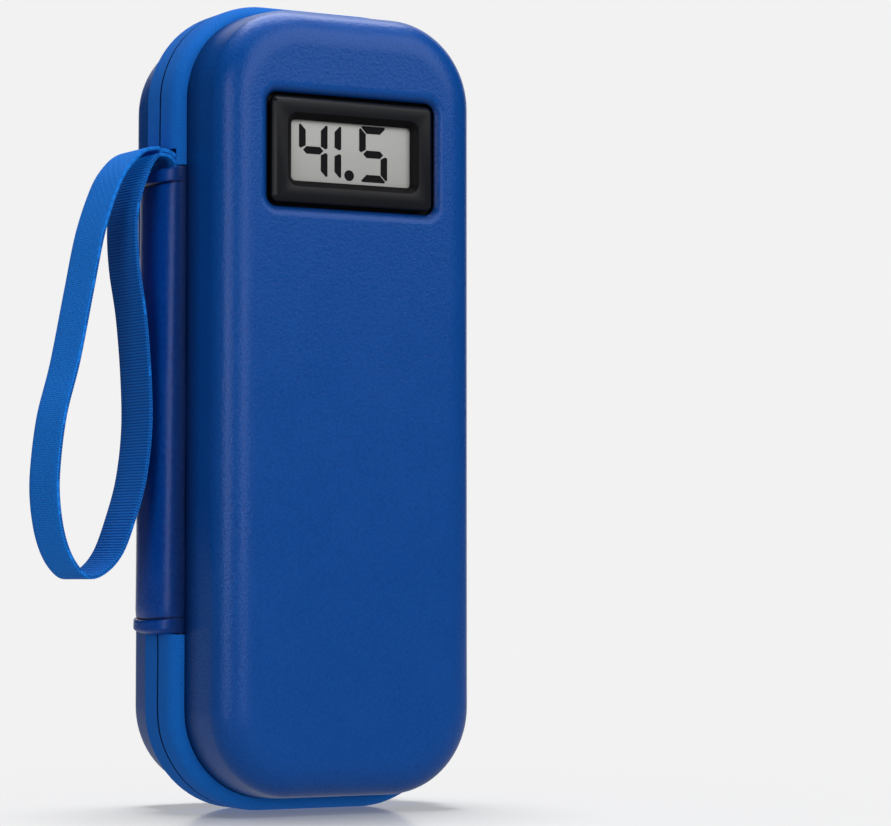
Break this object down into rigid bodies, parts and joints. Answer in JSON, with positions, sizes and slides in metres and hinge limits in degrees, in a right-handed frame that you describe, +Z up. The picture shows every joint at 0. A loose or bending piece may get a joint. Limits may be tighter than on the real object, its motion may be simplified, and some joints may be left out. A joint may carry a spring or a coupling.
{
  "type": "insulin cooling case",
  "caption": "Upright zip-round hard case for insulin pens: moulded halves on a sewn spine, gel packs under elastic bands, a thermometer set in the front and a wrist strap.",
  "frame": {"origin": "on the floor under the middle of the belt, at the seam between the halves", "axes": "+Z up along the height of the standing case, -Y out of the front with the thermometer, -X to the spine with the strap"},
  "size_m": [0.124, 0.0608, 0.216],
  "materials": {
    "shell": "blue embossed polyurethane leather over moulded foam",
    "lining": "silver foil insulation cloth",
    "zip_tape": "woven blue tape",
    "zip_coil": "moulded nylon coil",
    "gel_pack": "blue gel in a smooth moulded plastic pack",
    "elastic": "black woven elastic",
    "spine": "dark blue polyurethane leather",
    "strap": "bright blue webbing",
    "bezel": "black satin moulding",
    "lcd": "grey liquid crystal panel",
    "contact_rubber": "soft moulded rubber",
    "board": "green solder mask",
    "steel": "nickel plated",
    "zip_metal": "dark plated die casting"
  },
  "bodies": {
    "case_back": {"rear_shell": "shell", "rear_lining": "lining", "rear_zip_tape": "zip_tape", "rear_zip_coil": "zip_coil", "rear_gel_pack": "gel_pack", "rear_band_lower": "elastic", "rear_band_upper": "elastic"},
    "spine": {"spine_strip": "spine", "spine_hem_lower": "spine", "spine_hem_upper": "spine", "spine_lining": "elastic", "strap_anchor": "strap"},
    "lid": {"front_shell": "shell", "front_lining": "lining", "front_zip_tape": "zip_tape", "front_zip_coil": "zip_coil", "front_gel_pack": "gel_pack", "front_band_lower": "elastic", "front_band_upper": "elastic", "display_bezel": "bezel", "lcd_panel": "lcd", "contact_strip_upper": "contact_rubber", "contact_strip_lower": "contact_rubber", "circuit_board": "board", "battery_contact": "steel", "button_cell_left": "steel", "button_cell_right": "steel", "display_back_cover": "bezel", "sensor_bead": "bezel"},
    "strap": {"wrist_strap": "strap"},
    "slider_upper": {"zip_slider_upper": "zip_metal"},
    "slider_lower": {"zip_slider_lower": "zip_metal"},
    "pull_upper": {"zip_pull_upper": "zip_metal"},
    "pull_lower": {"zip_pull_lower": "zip_metal"},
    "door": {"battery_door": "bezel"},
    "button": {"unit_button": "contact_rubber"}
  },
  "joints": [
    {"name": "spine_fold", "type": "hinge", "parent": "case_back", "child": "spine", "pos_m": [-0.0402, 0.0094, 0.108], "axis": [0, 0, -1], "range_deg": [0, 90]},
    {"name": "lid_fold", "type": "hinge", "parent": "spine", "child": "lid", "pos_m": [-0.0402, -0.0094, 0.108], "axis": [0, 0, -1], "range_deg": [0, 90]},
    {"name": "strap_swing", "type": "hinge", "parent": "spine", "child": "strap", "pos_m": [-0.04548, -0.00031, 0.176], "axis": [-0.1045, 0.9945, 0], "range_deg": [0, 100]},
    {"name": "upper_slider_slide", "type": "slide", "parent": "case_back", "child": "slider_upper", "axis": [0, 0, 1], "range_m": [0, 0.068]},
    {"name": "lower_slider_slide", "type": "slide", "parent": "case_back", "child": "slider_lower", "axis": [0, 0, -1], "range_m": [0, 0.068]},
    {"name": "upper_pull_swing", "type": "hinge", "parent": "slider_upper", "child": "pull_upper", "pos_m": [0.04465, 0, 0.1176], "axis": [0, -1, 0], "range_deg": [0, 170]},
    {"name": "lower_pull_swing", "type": "hinge", "parent": "slider_lower", "child": "pull_lower", "pos_m": [0.04465, 0, 0.0984], "axis": [0, -1, 0], "range_deg": [0, 150]},
    {"name": "battery_door_slide", "type": "slide", "parent": "lid", "child": "door", "axis": [0, 0, 1], "range_m": [0, 0.011]},
    {"name": "unit_button_press", "type": "slide", "parent": "lid", "child": "button", "axis": [0, -1, 0], "range_m": [0, 0.0007], "stiffness_N_per_m": 1000, "springref_m": -0.0003}
  ],
  "couplings": [
    {"joint": "lid_fold", "follows": "spine_fold", "ratio": 1}
  ]
}
